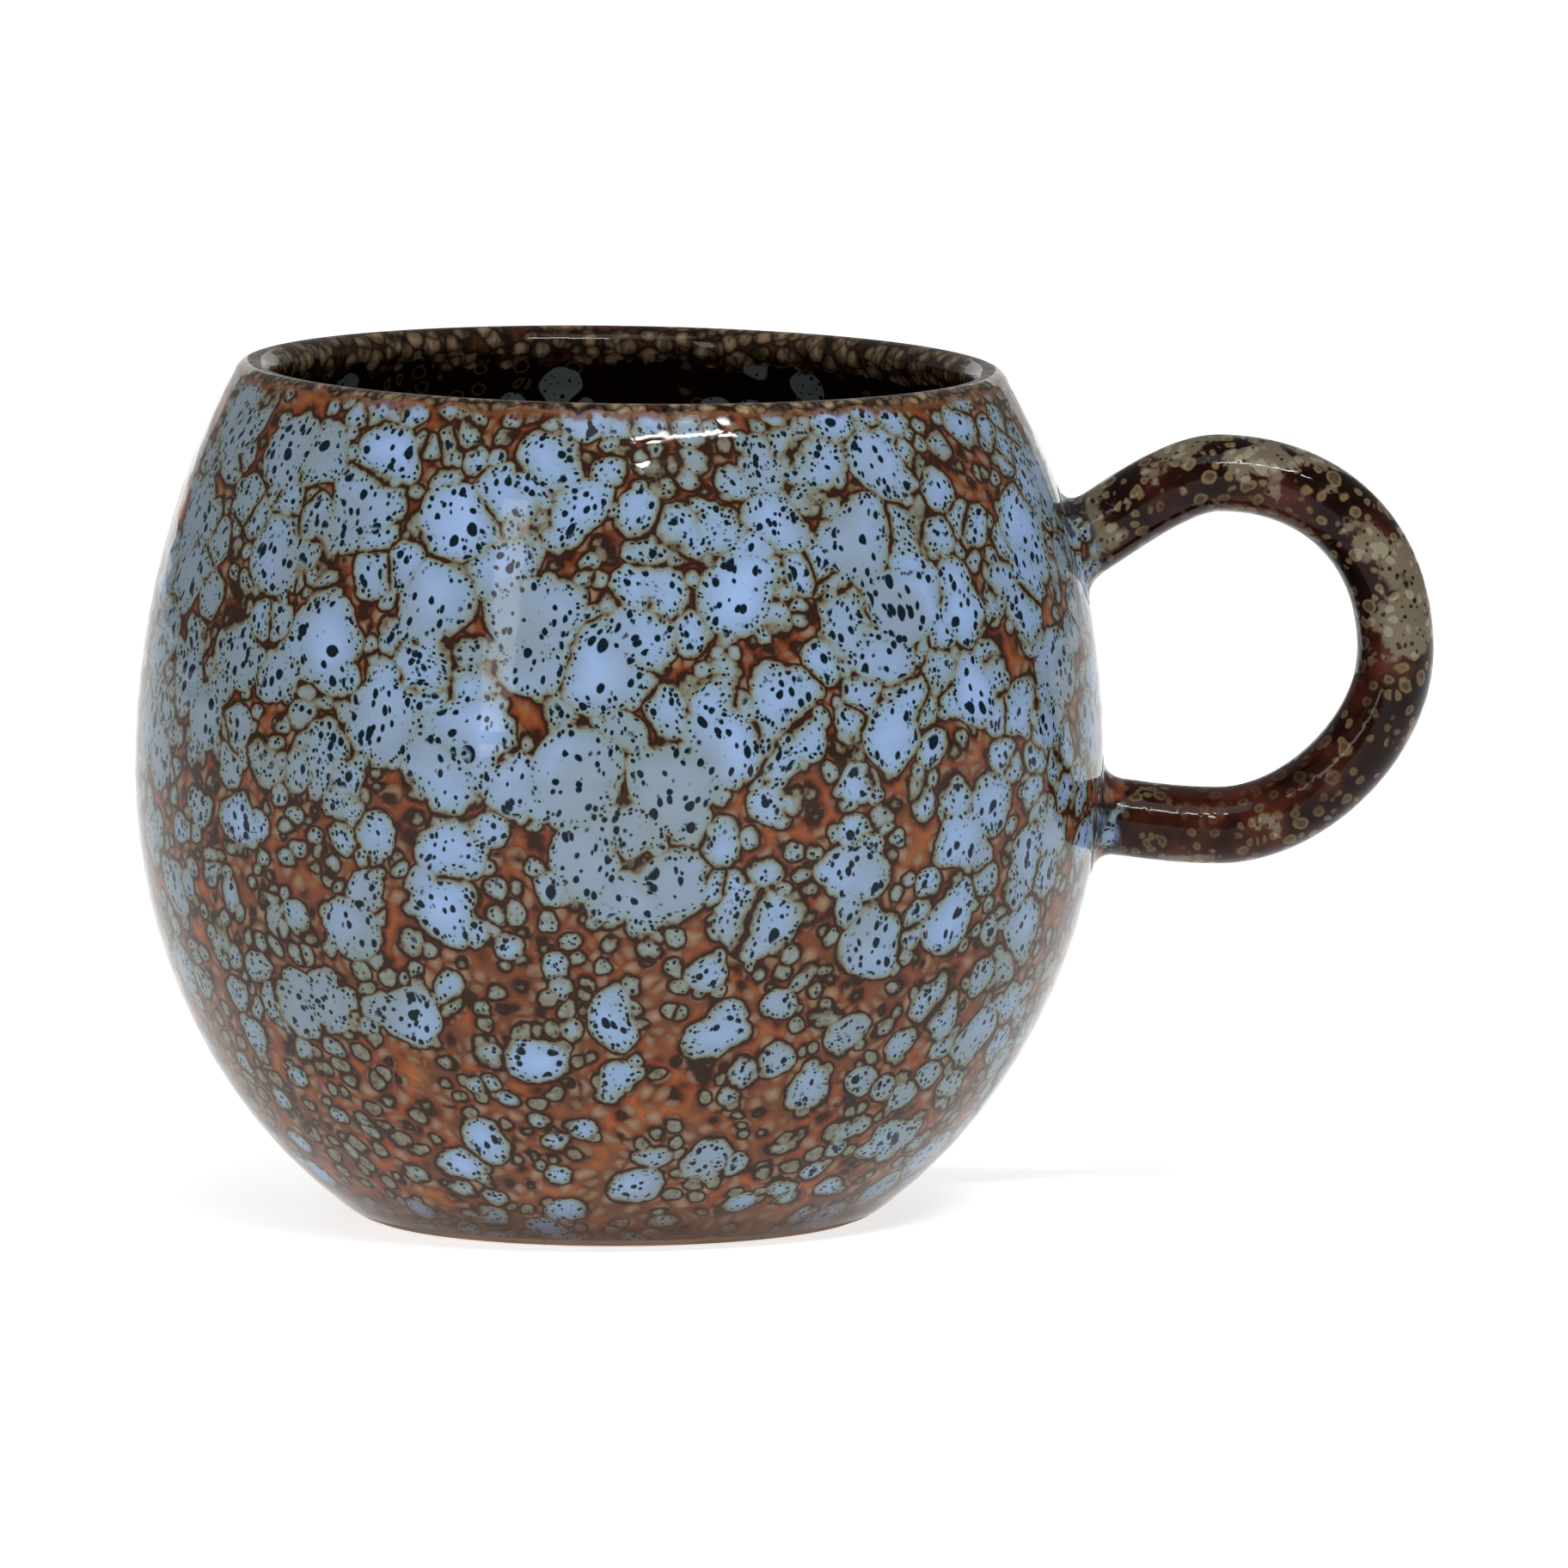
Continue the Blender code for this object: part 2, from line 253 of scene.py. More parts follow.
def add_piece(name, bm, material, nodes, values=None):
    """Make an object of a bmesh in millimetres, tie it to the frame and give it its look."""
    bmesh.ops.recalc_face_normals(bm, faces=bm.faces)
    for vertex in bm.verts:
        vertex.co *= MM
    mesh = bpy.data.meshes.new(name)
    bm.to_mesh(mesh)
    bm.free()
    mesh.shade_smooth()
    mesh.materials.append(material)
    for key, found in (values or {}).items():
        layer = mesh.attributes.new(name=key, type="FLOAT", domain="POINT")
        layer.data.foreach_set("value", found)
    piece = bpy.data.objects.new(name, mesh)
    bpy.context.scene.collection.objects.link(piece)
    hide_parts(*nodes)
    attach(piece, "root")


def uneven(point, radius):
    """The slight unevenness of a thrown wall at a point."""
    turn = Vector(
        (point.x / WOBBLE_AROUND, point.y / WOBBLE_AROUND, point.z / WOBBLE_ALONG)
    )
    rings = math.sin(point.z * THROWING_RINGS + 1.3 * noise.noise(turn)) * 0.25
    return WOBBLE * (noise.noise(turn + Vector((7, 3, 1))) + rings - 0.6) * smooth(radius / 30)


def turned(line, along):
    """Spin a line of (radius, height) points. Returns the mesh and each vertex's place along."""
    bm = bmesh.new()
    rings, places = [], []
    for point, place in zip(line, along):
        ring = []
        count = 1 if point.x < 1e-6 else TURN
        for i in range(count):
            angle = math.tau * i / TURN
            spot = Vector((point.x * math.cos(angle), point.x * math.sin(angle), point.y))
            if count > 1 and point.y > EVEN_BELOW:
                shift = uneven(spot, point.x)
                spot.x += shift * math.cos(angle)
                spot.y += shift * math.sin(angle)
            ring.append(bm.verts.new(settled(spot)))
            places.append(place)
        rings.append(ring)
    for low, high in zip(rings, rings[1:]):
        for i in range(TURN):
            j = (i + 1) % TURN
            if len(high) == 1:
                bm.faces.new((low[i], low[j], high[0]))
            elif len(low) == 1:
                bm.faces.new((low[0], high[j], high[i]))
            else:
                bm.faces.new((low[i], low[j], high[j], high[i]))
    return bm, places


def lengths(line, start):
    """Signed length along a line from the point with index start."""
    found = [0.0]
    for a, b in zip(line, line[1:]):
        found.append(found[-1] + (b - a).length)
    return [length - found[start] for length in found]


# ---------------------------------------------------------------- handle lines


def bezier(ends, count):
    """count + 1 points and directions along one cubic segment given as four points."""
    a, b, c, d = ends
    found = []
    for t in steps(0.0, 1.0, count):
        s = 1 - t
        point = a * s**3 + b * 3 * s * s * t + c * 3 * s * t * t + d * t**3
        slope = (b - a) * s * s + (c - b) * 2 * s * t + (d - c) * t * t
        found.append((point, slope.normalized()))
    return found


def handle_path():
    """Centre line of the handle, from inside the wall, round the ring and back into the wall."""
    top = Vector((RING_X, 0, RING_Z + RING_RADIUS))
    outer = Vector((RING_X + RING_RADIUS, 0, RING_Z))
    bottom = Vector((RING_X, 0, RING_Z - RING_RADIUS))
    right = Vector((RING_RADIUS, 0, 0))
    up = Vector((0, 0, RING_RADIUS))
    start = Vector((UPPER_END[0], 0, UPPER_END[1]))
    end = Vector((LOWER_END[0], 0, LOWER_END[1]))
    leave = Vector((math.cos(UPPER_ANGLE), 0, math.sin(UPPER_ANGLE))) * UPPER_PULL
    arrive = Vector((math.cos(LOWER_ANGLE), 0, math.sin(LOWER_ANGLE))) * LOWER_PULL
    before_top = top - Vector((TOP_PULL, 0, 0))
    after_bottom = bottom - Vector((BOTTOM_PULL, 0, 0))
    full, slack = UPPER_FULLNESS, LOWER_FULLNESS
    path = bezier((start, start + leave, before_top, top), BEND_STEPS)
    path += bezier((top, top + right * full, outer + up * full, outer), BEND_STEPS)[1:]
    ends = (outer, outer - up * slack, bottom + right * slack, bottom)
    path += bezier(ends, BEND_STEPS)[1:]
    path += bezier((bottom, after_bottom, end + arrive, end), BEND_STEPS)[1:]
    return path


def section(point, direction):
    """One oval ring of points round the centre line, with their offsets."""
    sideways = Vector((0, 1, 0))
    upwards = sideways.cross(direction).normalized()
    ring = []
    for i in range(SECTION):
        turn = math.tau * i / SECTION
        ring.append(upwards * HALF_THICK * math.cos(turn) + sideways * HALF_WIDE * math.sin(turn))
    return ring


def wall_normal(point):
    """Outward normal of the outside wall near a point."""
    gap = 0.05
    here = depth_under_wall(point)
    parts = []
    for axis in range(3):
        moved = point.copy()
        moved[axis] += gap
        parts.append((here - depth_under_wall(moved)) / gap)
    return Vector(parts).normalized()


def on_wall(point, stand_off):
    """The nearest spot on the outside wall, moved out by a small stand-off."""
    for _ in range(4):
        point = point + wall_normal(point) * (depth_under_wall(point) + stand_off)
    return point


def joint_rings(path):
    """Rings of one joint, from the wall outwards, and the index of the first path ring kept."""
    first = next(i for i, (p, _) in enumerate(path) if -depth_under_wall(p) > JOINT_ROOM)
    centre, direction = path[first]
    offsets = section(centre, direction)
    columns = []
    for offset in offsets:
        start = centre + offset
        spot = start.copy()
        for _ in range(24):
            back = -depth_under_wall(spot)
            slant = max(direction.dot(wall_normal(spot)), 0.35)
            spot = spot - direction * back / slant
        normal = wall_normal(spot)
        away = (offset - normal * offset.dot(normal)).normalized()
        reach = min(FILLET, (start - spot).length * FILLET_SHARE)
        landing = on_wall(spot + away * FILLET, 0.0)
        lift = spot + (start - spot).normalized() * reach
        column = [on_wall(landing + away * SKIRT, -SKIRT_DEPTH), landing]
        for t in steps(0.0, 1.0, FILLET_STEPS)[1:]:
            s = 1 - t
            column.append(landing * s * s + spot * 2 * s * t + lift * t * t)
        for t in (0.33, 0.66):
            column.append(lift.lerp(start, t))
        columns.append(column)
    rings = [[column[i] for column in columns] for i in range(len(columns[0]))]
    return rings, first


def handle_rings():
    """All rings of the handle from the upper joint to the lower one."""
    path = handle_path()
    upper, first = joint_rings(path)
    flipped = [(p, -d) for p, d in path[::-1]]
    lower, last = joint_rings(flipped)
    lower = [[ring[(SECTION // 2 - i) % SECTION] for i in range(SECTION)] for ring in lower]
    middle = []
    for point, direction in path[first : len(path) - last]:
        middle.append([point + offset for offset in section(point, direction)])
    return upper + middle + lower[::-1]


# ---------------------------------------------------------------- material nodes


class Net:
    """Short names for the shader nodes of one material."""

    def __init__(self, name):
        self.material = bpy.data.materials.new(name)
        self.material.use_nodes = True
        self.tree = self.material.node_tree
        self.shader = self.tree.nodes["Principled BSDF"]
        coords = self.tree.nodes.new("ShaderNodeTexCoord")
        self.place = self.scale(coords.outputs["Object"], 1 / MM)

    def put(self, socket, value):
        if isinstance(value, bpy.types.NodeSocket):
            self.tree.links.new(value, socket)
        else:
            socket.default_value = value

    def math(self, kind, a, b=0.0, c=0.0, clamp=False):
        node = self.tree.nodes.new("ShaderNodeMath")
        node.operation = kind
        node.use_clamp = clamp
        for socket, value in zip(node.inputs, (a, b, c)):
            self.put(socket, value)
        return node.outputs[0]

    def vector(self, kind, a, b):
        node = self.tree.nodes.new("ShaderNodeVectorMath")
        node.operation = kind
        self.put(node.inputs[0], a)
        self.put(node.inputs[1], b)
        return node.outputs[0]

    def scale(self, a, factor):
        node = self.tree.nodes.new("ShaderNodeVectorMath")
        node.operation = "SCALE"
        self.put(node.inputs[0], a)
        self.put(node.inputs["Scale"], factor)
        return node.outputs[0]

    def axis(self, a, index):
        node = self.tree.nodes.new("ShaderNodeSeparateXYZ")
        self.put(node.inputs[0], a)
        return node.outputs[index]

    def noise(self, place, size, detail=2.0, rough=0.5):
        """Noise whose lumps are about size millimetres wide: value and colour."""
        node = self.tree.nodes.new("ShaderNodeTexNoise")
        self.put(node.inputs["Vector"], place)
        self.put(node.inputs["Scale"], 1 / size)
        self.put(node.inputs["Detail"], detail)
        self.put(node.inputs["Roughness"], rough)
        return node.outputs[0], node.outputs[1]

    def cells(self, place, size, feature="F1"):
        """Voronoi cells of size millimetres: distance in millimetres and the cell's own colour."""
        node = self.tree.nodes.new("ShaderNodeTexVoronoi")
        node.feature = feature
        self.put(node.inputs["Vector"], place)
        self.put(node.inputs["Scale"], 1 / size)
        colour = node.outputs["Color"] if feature == "F1" else None
        return self.math("MULTIPLY", node.outputs["Distance"], size), colour

    def remap(self, value, low, high, first=0.0, last=1.0):
        node = self.tree.nodes.new("ShaderNodeMapRange")
        node.interpolation_type = "SMOOTHSTEP"
        for socket, given in zip(node.inputs, (value, low, high, first, last)):
            self.put(socket, given)
        return node.outputs[0]

    def ramp(self, value, low, high, stops):
        """Colour by value: stops are (value, colour) between low and high."""
        node = self.tree.nodes.new("ShaderNodeValToRGB")
        elements = node.color_ramp.elements
        while len(elements) < len(stops):
            elements.new(0.5)
        for element, (at, colour) in zip(elements, stops):
            element.position = (at - low) / (high - low)
            element.color = colour
        self.put(node.inputs[0], self.math("DIVIDE", self.math("SUBTRACT", value, low), high - low))
        return node.outputs[0]

    def mix(self, share, a, b):
        node = self.tree.nodes.new("ShaderNodeMix")
        node.data_type = "RGBA"
        self.put(node.inputs["Factor"], share)
        self.put(node.inputs[6], a)
        self.put(node.inputs[7], b)
        return node.outputs[2]

    def both(self, a, b):
        return self.math("MULTIPLY", a, b)

    def attribute(self, name):
        node = self.tree.nodes.new("ShaderNodeAttribute")
        node.attribute_name = name
        return node.outputs["Fac"]

    def shift(self, place, step):
        return self.vector("ADD", place, (step, step * 0.7, -step * 1.3))

    def finish(self, colour, roughness, height, depth, ior=1.22):
        """Join the colour, roughness and relief to the shader."""
        bump = self.tree.nodes.new("ShaderNodeBump")
        bump.inputs["Strength"].default_value = 1.0
        bump.inputs["Distance"].default_value = depth * MM
        self.put(bump.inputs["Height"], height)
        self.put(self.shader.inputs["Normal"], bump.outputs[0])
        self.put(self.shader.inputs["Base Color"], colour)
        self.put(self.shader.inputs["Roughness"], roughness)
        self.shader.inputs["IOR"].default_value = ior
        return self.material


def warped(net, reach=3.0, size=9.0):
    """Coordinates pushed about by soft noise, so that round cells become irregular."""
    _, colour = net.noise(net.place, size, 1.0)
    push = net.scale(net.vector("SUBTRACT", colour, (0.5, 0.5, 0.5)), reach)
    place = net.vector("ADD", net.place, push)
    _, fine = net.noise(net.place, 1.7, 1.0)
    jitter = net.scale(net.vector("SUBTRACT", fine, (0.5, 0.5, 0.5)), 0.6)
    return net.vector("ADD", place, jitter)


def islands(net, place, size, fill, bridge):
    """How many millimetres inside an island of glaze a point lies; negative between islands.

    fill is the island radius as a share of size. bridge is how thick the skin is where two
    neighbours touch: below zero they stay apart.
    """
    near, _ = net.cells(place, size)
    edge, _ = net.cells(place, size, "DISTANCE_TO_EDGE")
    blob = net.math("SUBTRACT", net.both(fill, size), near)
    return net.math("SMOOTH_MIN", blob, net.math("ADD", edge, bridge), 0.35)


def specks(net, place, size, small, large, share):
    """Round dark specks of unlike sizes: 1 on a speck and 0 off it."""
    near, colour = net.cells(place, size)
    radius = net.remap(net.axis(colour, 0), 0.0, 1.0, small, large)
    present = net.math("LESS_THAN", net.axis(colour, 1), share)
    depth = net.math("SUBTRACT", radius, near)
    return net.both(net.remap(depth, -0.05, 0.07), present)


# Colour of the outside glaze by depth inside an island, in millimetres
BLUE_STOPS = [
    (-2.0, srgb(150, 86, 40)),
    (-1.1, srgb(130, 72, 38)),
    (-0.55, srgb(98, 50, 29)),
    (-0.24, srgb(44, 22, 14)),
    (-0.02, srgb(36, 26, 19)),
    (0.12, srgb(98, 90, 72)),
    (0.3, srgb(108, 118, 112)),
    (0.52, srgb(112, 130, 140)),
    (0.85, srgb(116, 138, 162)),
    (1.5, srgb(120, 143, 176)),
    (2.8, srgb(130, 154, 192)),
]
DARK_SPECK = srgb(9, 22, 31)


def island_depth(net, place, height, joint, wide, other):
    """Depth inside the blue islands: three sizes, sparser at the heel, the lip and the sides."""
    medium, _ = net.noise(net.shift(net.place, 50), 7.0, 1.0)
    spread = net.math("MULTIPLY", net.math("SUBTRACT", wide, 0.5), 0.5)
    upper = net.remap(height, 10.0, 80.0, -0.2, 0.1)
    rim = net.remap(height, 76.0, 90.0, 0.0, -0.2)
    cover = net.math("ADD", net.math("ADD", upper, rim), spread)
    cover = net.math("ADD", cover, net.math("MULTIPLY", joint, 0.16))
    sideways = net.math("ABSOLUTE", net.axis(net.place, 0))
    cover = net.math("ADD", cover, net.remap(sideways, 30.0, 50.0, 0.0, -0.08))
    local = net.math("MULTIPLY", net.math("SUBTRACT", medium, 0.5), 0.55)

    fill = net.math("ADD", net.math("ADD", cover, local), 0.565)
    bridge = net.remap(other, 0.42, 0.62, -0.2, 1.2)
    big = islands(net, place, 8.0, fill, bridge)
    fill = net.math("ADD", net.math("SUBTRACT", cover, local), 0.52)
    middle = islands(net, net.shift(place, 31), 4.8, fill, -0.12)
    thin = net.remap(other, 0.35, 0.65, 0.38, 0.5)
    thin = net.math("SUBTRACT", thin, net.remap(height, 12.0, 50.0, 0.1, 0.0))
    little = islands(net, net.shift(place, 77), 2.6, thin, -0.14)
    little = net.math("MINIMUM", little, net.remap(height, 20.0, 50.0, 0.16, 0.5))
    return net.math("MAXIMUM", net.math("MAXIMUM", big, middle), little)


def between_islands(net, place, height, depth, colour):
    """Darken the ground between islands towards the foot and strew it with small pebbles."""
    ground = net.remap(depth, -0.15, -0.4)
    dim, _ = net.noise(net.place, 5.0, 3.0)
    low = net.remap(height, 60.0, 12.0, 0.2, 0.8)
    dark_ground = net.both(net.both(ground, net.remap(dim, 0.42, 0.6)), low)
    colour = net.mix(dark_ground, colour, srgb(80, 52, 37))
    pebble = islands(net, net.shift(place, 12), 1.9, 0.58, -0.1)
    pebbles = net.both(net.remap(pebble, 0.02, 0.12), ground)
    stops = [(0.0, srgb(84, 60, 44)), (0.7, srgb(134, 112, 90))]
    pebble_colour = net.ramp(pebble, 0.0, 0.7, stops)
    return net.mix(net.math("MULTIPLY", pebbles, 0.8), colour, pebble_colour)


def island_specks(net, place, depth):
    """Dark specks of three sizes: the largest deep in an island, the finest along its edge."""
    tall = net.vector("MULTIPLY", place, (1.0, 1.0, 0.75))
    dots = net.both(specks(net, tall, 2.1, 0.3, 0.64, 0.95), net.remap(depth, 0.6, 0.95))
    mids = specks(net, net.shift(tall, 9), 1.05, 0.2, 0.4, 0.95)
    mids = net.both(mids, net.remap(depth, 0.25, 0.5))
    fines = specks(net, net.shift(place, 5), 0.6, 0.13, 0.25, 0.95)
    band = net.both(net.remap(depth, 0.1, 0.25), net.remap(depth, 1.4, 0.9))
    return net.math("MAXIMUM", net.math("MAXIMUM", dots, mids), net.both(fines, band))


def blue_glaze(net, place, height, joint):
    """Colour and island depth of the outside glaze. It pools and runs dark at the joints."""
    wide, _ = net.noise(net.shift(net.place, 3), 30.0, 1.0)
    other, _ = net.noise(net.shift(net.place, 90), 10.0, 1.0)
    fine, _ = net.noise(net.place, 0.9, 2.0)
    depth = island_depth(net, place, height, joint, wide, other)
    paint = net.math("ADD", depth, net.math("MULTIPLY", net.math("SUBTRACT", fine, 0.5), 0.6))
    colour = net.ramp(paint, BLUE_STOPS[0][0], BLUE_STOPS[-1][0], BLUE_STOPS)
    colour = between_islands(net, place, height, depth, colour)

    far_side = net.remap(net.axis(net.place, 0), -12.0, -44.0, 0.0, 0.22)
    grey = net.math("ADD", net.math("ADD", wide, net.both(other, 0.5)), far_side)
    grey = net.remap(grey, 0.7, 0.95, 0.0, 0.75)
    colour = net.mix(net.both(grey, net.remap(depth, 0.1, 0.5)), colour, srgb(108, 120, 122))
    colour = net.mix(island_specks(net, place, depth), colour, DARK_SPECK)

    run, _ = net.noise(net.vector("MULTIPLY", place, (1.0, 1.0, 0.22)), 1.5, 2.0)
    runs = net.both(net.remap(joint, 0.15, 0.7), net.remap(run, 0.47, 0.58))
    colour = net.mix(net.both(runs, 0.85), colour, srgb(26, 27, 38))
    foot = net.both(net.remap(height, 7.0, 1.0), 0.8)
    colour = net.mix(foot, colour, net.mix(fine, srgb(44, 24, 16), srgb(86, 60, 44)))
    return colour, depth


def lip_glaze(net, place, light):
    """Small olive and tan islands on near-black brown, where the glaze has run thin; the light
    factor darkens it all as painted shade.
    """
    blob = islands(net, net.shift(place, 61), 1.8, 0.6, -0.06)
    run, _ = net.noise(net.vector("MULTIPLY", net.place, (1.0, 1.0, 0.3)), 1.2, 3.0, 0.6)
    colour = net.ramp(
        blob,
        -0.5,
        0.8,
        [
            (-0.5, srgb(74, 40, 22)),
            (-0.1, srgb(28, 17, 11)),
            (0.1, srgb(104, 84, 62)),
            (0.35, srgb(130, 110, 85)),
            (0.8, srgb(156, 138, 112)),
        ],
    )
    # real dark streaks of the glaze, times the light factor, which is painted shade on the lip
    streaks_and_painted_shade = net.both(net.remap(run, 0.36, 0.6, 0.2, 1.0), light)
    return net.mix(streaks_and_painted_shade, srgb(10, 6, 4), colour)


def outside_material():
    """Blue islands on rust, a rust and tan band under the lip, and an olive streaked lip darkened
    towards its inner side as painted shade.
    """
    net = Net("outside_glaze_look")
    place = warped(net)
    height = net.axis(net.place, 2)
    colour, depth = blue_glaze(net, place, height, net.attribute("near_handle"))
    from_lip = net.attribute("from_lip")
    ragged, _ = net.noise(net.place, 2.4, 3.0)
    outward = net.math("MAXIMUM", net.math("MULTIPLY", from_lip, -1.0), 0.0)
    reach = net.math("ADD", outward, net.both(ragged, 3.0))
    rust = net.mix(ragged, srgb(50, 28, 18), srgb(128, 78, 44))
    colour = net.mix(net.remap(reach, 4.4, 3.6, 0.0, 0.85), colour, rust)
    # painted shade: the lip dims from 1.0 on its outer side to 0.65 on its inner side
    lip = lip_glaze(net, place, net.remap(from_lip, -0.5, 1.5, 1.0, 0.65))
    colour = net.mix(net.remap(reach, 3.6, 3.0), colour, lip)
    rough = net.remap(ragged, 0.2, 0.8, 0.03, 0.08)
    height_map = net.remap(depth, -0.6, 1.2)
    return net.finish(colour, rough, height_map, 0.02)


def inside_material():
    """Near-black liner with sparse spotted rings, and a mottled olive band under the lip, dimmed as
    painted shade.
    """
    net = Net("liner_glaze_look")
    place = warped(net, 0.7)
    near, cell = net.cells(place, 5.4)
    radius = net.remap(net.axis(cell, 0), 0.0, 1.0, 1.0, 2.4)
    present = net.math("LESS_THAN", net.axis(cell, 1), 0.7)
    inside = net.both(net.remap(net.math("SUBTRACT", radius, near), 0.0, 0.2), present)
    stipple = specks(net, place, 0.8, 0.16, 0.3, 0.8)
    spotted = net.mix(stipple, srgb(92, 100, 102), srgb(8, 8, 9))
    base, _ = net.noise(net.place, 7.0, 2.0)
    colour = net.mix(base, srgb(5, 2, 1), srgb(20, 8, 4))
    faint = islands(net, net.shift(place, 40), 3.0, 0.34, -0.2)
    ring = net.both(net.remap(faint, 0.0, 0.12), net.remap(faint, 0.35, 0.18, 0.0, 0.35))
    colour = net.mix(ring, colour, srgb(96, 74, 52))
    colour = net.mix(net.both(inside, 0.8), colour, spotted)
    from_lip = net.attribute("from_lip")
    ragged, _ = net.noise(net.place, 3.2, 3.0)
    reach = net.math("ADD", net.math("ABSOLUTE", from_lip), net.both(ragged, 5.0))
    blotch, _ = net.noise(net.place, 1.3, 3.0, 0.6)
    # the olive band under the lip, dimmed to 0.6 as painted shade
    colour = net.mix(net.remap(reach, 7.0, 6.6), colour, lip_glaze(net, place, 0.6))
    rough = net.remap(base, 0.2, 0.8, 0.03, 0.09)
    return net.finish(colour, rough, blotch, 0.02)


def handle_material():
    """Chocolate gloss with tan rings and grey stippled patches, turning blue at the joints."""
    net = Net("handle_glaze_look")
    place = warped(net, 0.9, 6.0)
    height = net.axis(net.place, 2)
    joint = net.attribute("near_wall")
    vessel_colour, _ = blue_glaze(net, warped(net), height, joint)
    base, _ = net.noise(net.place, 6.0, 3.0)
    colour = net.ramp(
        base,
        0.3,
        0.7,
        [(0.3, srgb(7, 1, 1)), (0.5, srgb(27, 9, 5)), (0.7, srgb(66, 28, 17))],
    )
    rings = islands(net, place, 2.7, 0.36, -0.3)
    small = islands(net, net.shift(place, 21), 1.6, 0.41, -0.12)
    spots = net.math("MAXIMUM", rings, small)
    spot_colour = net.ramp(
        spots,
        0.0,
        1.3,
        [
            (0.0, srgb(42, 27, 18)),
            (0.2, srgb(106, 88, 62)),
            (0.5, srgb(62, 50, 37)),
            (1.3, srgb(82, 80, 68)),
        ],
    )
    wide, _ = net.noise(net.shift(net.place, 14), 11.0, 5.0, 0.6)
    patchy = net.math("ADD", wide, net.both(net.attribute("outward"), 0.1))
    patchy = net.math("ADD", patchy, net.remap(height, 42.0, 80.0, -0.07, 0.09))
    share = net.both(net.remap(spots, -0.02, 0.1), net.remap(patchy, 0.34, 0.58, 0.2, 0.95))
    colour = net.mix(share, colour, spot_colour)
    patch = net.remap(net.math("ADD", patchy, net.both(base, 0.5)), 0.83, 0.88)
    stipple = specks(net, place, 0.8, 0.14, 0.3, 0.8)
    patch_colour = net.mix(stipple, srgb(106, 98, 80), srgb(34, 24, 18))
    patch_colour = net.mix(net.remap(spots, 0.0, 0.2), patch_colour, srgb(128, 124, 106))
    colour = net.mix(net.both(patch, 0.75), colour, patch_colour)
    torn = net.math("ADD", joint, net.math("MULTIPLY", net.math("SUBTRACT", base, 0.5), 0.9))
    colour = net.mix(net.remap(torn, 0.62, 0.82), colour, vessel_colour)
    rough = net.remap(base, 0.2, 0.8, 0.04, 0.1)
    return net.finish(colour, rough, net.remap(spots, -0.2, 0.4), 0.03)


def foot_material():
    """Dry dark clay with fine turning rings and a little grog."""
    net = Net("dry_foot_look")
    x, y = net.axis(net.place, 0), net.axis(net.place, 1)
    radius = net.math("SQRT", net.math("ADD", net.both(x, x), net.both(y, y)))
    grog, _ = net.noise(net.place, 0.6, 3.0, 0.6)
    wave = net.math("SINE", net.math("ADD", net.both(radius, 5.0), net.both(grog, 1.5)))
    wide, _ = net.noise(net.place, 9.0, 2.0)
    colour = net.mix(grog, srgb(92, 70, 54), srgb(132, 106, 84))
    colour = net.mix(net.remap(wide, 0.4, 0.7, 0.0, 0.4), colour, srgb(84, 60, 46))
    grains = specks(net, net.place, 1.4, 0.08, 0.2, 0.5)
    colour = net.mix(net.both(grains, 0.7), colour, srgb(50, 36, 28))
    relief = net.math("ADD", net.both(wave, 0.35), grog)
    return net.finish(colour, net.remap(grog, 0.2, 0.8, 0.75, 0.92), relief, 0.08, ior=1.35)


# ---------------------------------------------------------------- pieces


def near_handle(bm, rings):
    """For each vertex of the wall, how near the handle's joints it lies, from 0 to 1."""
    centres = []
    for ring in (rings[1], rings[-2]):
        centres.append(sum(ring, Vector()) / len(ring))
    found = []
    for vertex in bm.verts:
        gap = min((vertex.co - centre).length for centre in centres)
        found.append(1 - smooth((gap - POOL_NEAR) / POOL_FADE))
    return found


def build_outside(rings):
    """Glaze from the foot up to the inner edge of the lip's round."""
    line = outside_line(GLAZE_END) + lip_line()
    crest = max(range(len(line)), key=lambda i: line[i].y)
    bm, places = turned(line, lengths(line, crest))
    values = {"from_lip": places, "near_handle": near_handle(bm, rings)}
    add_piece("glazed_outside", bm, outside_material(), ["outer_glaze"], values)


def build_inside():
    """Glaze from the inner edge of the lip's round down to the middle of the floor."""
    line = lip_line()[-1:] + inside_line()
    start = math.pi * LIP_THICKNESS / 4
    along = [length + start for length in lengths(line, 0)]
    bm, places = turned(line, along)
    values = {"from_lip": places}
    add_piece("glazed_inside", bm, inside_material(), ["inner_glaze"], values)


def build_foot():
    """Dry edge and underside of the foot, with a slightly softened corner."""
    edge = outside_line(GLAZE_END)[0]
    corner = Vector((edge.x - FOOT_SLANT, 0.0))
    line = [edge, edge.lerp(corner, 0.45) + Vector((0.08, 0)), corner + Vector((-0.05, 0.05))]
    line += [Vector((r, 0.0)) for r in steps(corner.x - 0.4, 0.0, FOOT_STEPS)]
    bm, _ = turned(line, lengths(line, 0))
    add_piece("dry_foot", bm, foot_material(), ["body"])


